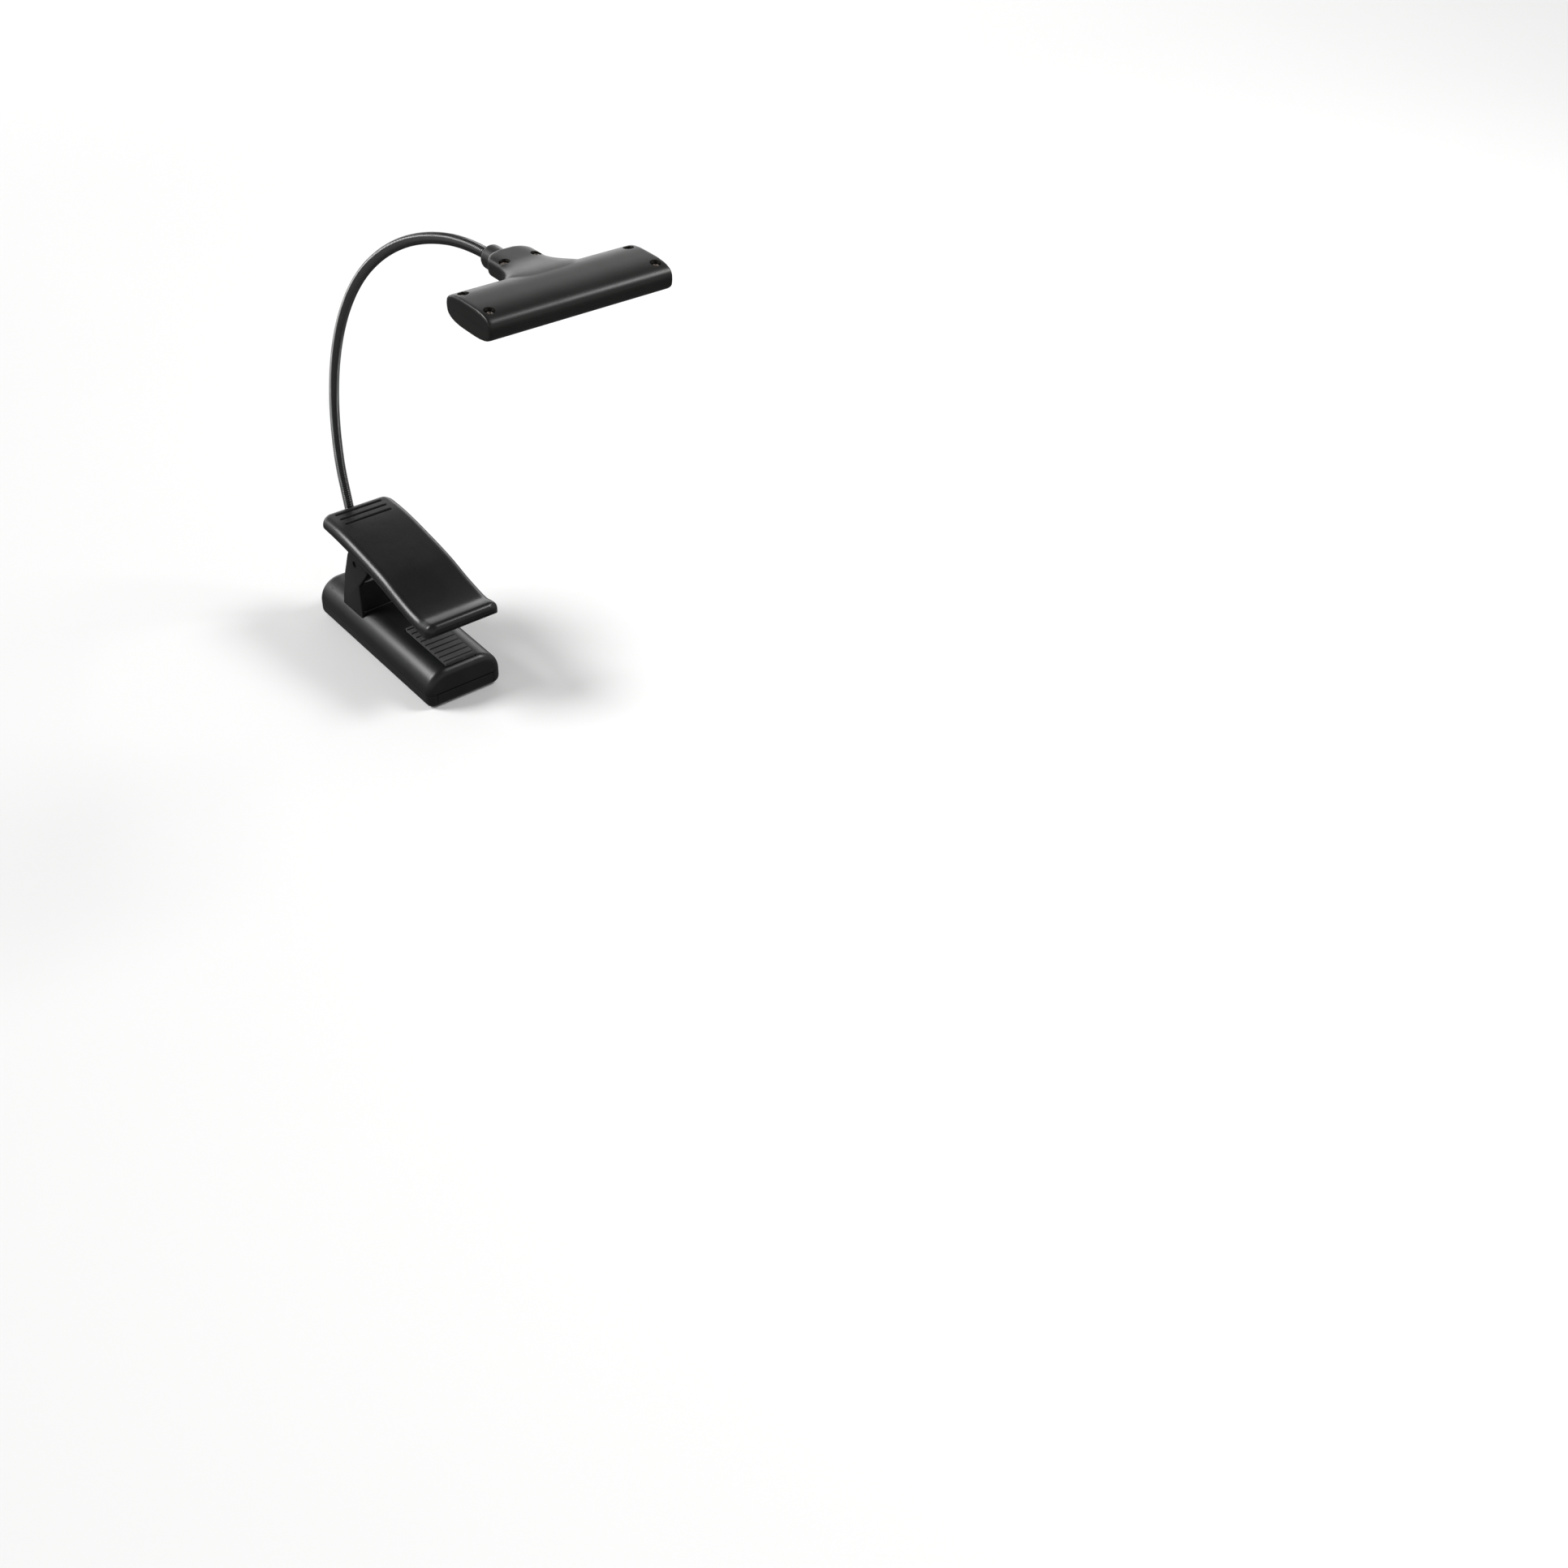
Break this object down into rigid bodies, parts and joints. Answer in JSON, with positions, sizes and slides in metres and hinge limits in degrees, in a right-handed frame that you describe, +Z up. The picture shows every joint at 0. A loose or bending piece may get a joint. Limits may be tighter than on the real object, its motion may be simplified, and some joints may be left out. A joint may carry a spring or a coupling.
{
  "type": "clip-on reading lamp",
  "caption": "Spring-clip reading lamp: a battery case as lower jaw, a sprung lever above it, a thin gooseneck and a wide light bar.",
  "frame": {"origin": "middle of the battery case's flat bottom", "axes": "+X across the clip, -Y the way the jaw opens, +Z up, from the case to the light bar"},
  "size_m": [0.0594, 0.1568, 0.1813],
  "materials": {
    "case_plastic": "satin black, fine grain",
    "lever_plastic": "satin black, fine grain",
    "head_plastic": "satin black, fine grain",
    "button_plastic": "glossy black",
    "pad_rubber": "matt black",
    "neck_steel": "black-plated wound steel",
    "bright_steel": "nickel plated",
    "spring_steel": "bright wire",
    "cell_jacket": "printed film, no text",
    "board": "green solder mask",
    "white_plastic": "white",
    "clear_plastic": "clear",
    "led_resin": "clear resin over a yellow chip"
  },
  "bodies": {
    "case": {"case_top_shell": "case_plastic", "case_bottom_shell": "case_plastic", "case_screw_1": "bright_steel", "case_screw_2": "bright_steel", "case_screw_3": "bright_steel", "case_screw_4": "bright_steel", "cell_left": "cell_jacket", "cell_right": "cell_jacket", "contact_bridge_front": "bright_steel", "contact_plate_left": "bright_steel", "contact_plate_right": "bright_steel", "contact_spring_left": "spring_steel", "contact_spring_right": "spring_steel", "circuit_board": "board", "current_resistor": "white_plastic", "switch_module": "button_plastic", "pivot_pin": "bright_steel", "clip_spring": "spring_steel", "lower_jaw_pad": "pad_rubber", "neck_1": "neck_steel", "neck_ferrule": "bright_steel", "neck_lock_nut": "bright_steel", "neck_grommet": "pad_rubber"},
    "clip_lever": {"lever": "lever_plastic", "upper_jaw_pad": "pad_rubber"},
    "door": {"battery_door": "case_plastic"},
    "button": {"power_button": "button_plastic"},
    "neck_lower": {"neck_2": "neck_steel"},
    "neck_lower_middle": {"neck_3": "neck_steel"},
    "neck_upper_middle": {"neck_4": "neck_steel"},
    "neck_upper": {"neck_5": "neck_steel"},
    "light_bar": {"neck_6": "neck_steel", "head_top_shell": "head_plastic", "head_bottom_shell": "head_plastic", "head_ferrule": "bright_steel", "head_screw_front_left": "bright_steel", "head_screw_front_right": "bright_steel", "head_screw_back_left": "bright_steel", "head_screw_back_right": "bright_steel", "head_screw_tongue_left": "bright_steel", "head_screw_tongue_right": "bright_steel", "lens": "clear_plastic", "reflector": "white_plastic", "led_board": "board", "led_1": "led_resin", "led_2": "led_resin", "led_3": "led_resin", "led_4": "led_resin", "led_5": "led_resin", "led_6": "led_resin"}
  },
  "joints": [
    {"name": "lever_hinge", "type": "hinge", "parent": "case", "child": "clip_lever", "pos_m": [0, 0.01085, 0.0342], "axis": [-1, 0, 0], "range_deg": [-16, 10], "stiffness_Nm_per_rad": 0.3, "springref_deg": -40.11, "deforming": ["clip_spring"]},
    {"name": "battery_door_slide", "type": "slide", "parent": "case", "child": "door", "axis": [0, -1, 0], "range_m": [0, 0.054]},
    {"name": "power_button_press", "type": "slide", "parent": "case", "child": "button", "axis": [0, -1, 0], "range_m": [0, 0.001], "stiffness_N_per_m": 200, "springref_m": -0.001},
    {"name": "neck_bend_low", "type": "hinge", "parent": "case", "child": "neck_lower", "pos_m": [0, 0.03796, 0.06567], "axis": [1, 0, 0], "range_deg": [-40, 40]},
    {"name": "neck_side_low", "type": "hinge", "parent": "neck_lower", "child": "neck_lower_middle", "pos_m": [0, 0.03166, 0.10094], "axis": [0, 0.9407, 0.3391], "range_deg": [-40, 40]},
    {"name": "neck_bend_mid", "type": "hinge", "parent": "neck_lower_middle", "child": "neck_upper_middle", "pos_m": [0, 0.01401, 0.13211], "axis": [1, 0, 0], "range_deg": [-40, 40]},
    {"name": "neck_side_high", "type": "hinge", "parent": "neck_upper_middle", "child": "neck_upper", "pos_m": [0, -0.01289, 0.15581], "axis": [0, 0.5406, 0.8413], "range_deg": [-40, 40]},
    {"name": "neck_bend_high", "type": "hinge", "parent": "neck_upper", "child": "light_bar", "pos_m": [0, -0.04553, 0.17071], "axis": [1, 0, 0], "range_deg": [-40, 40]}
  ]
}
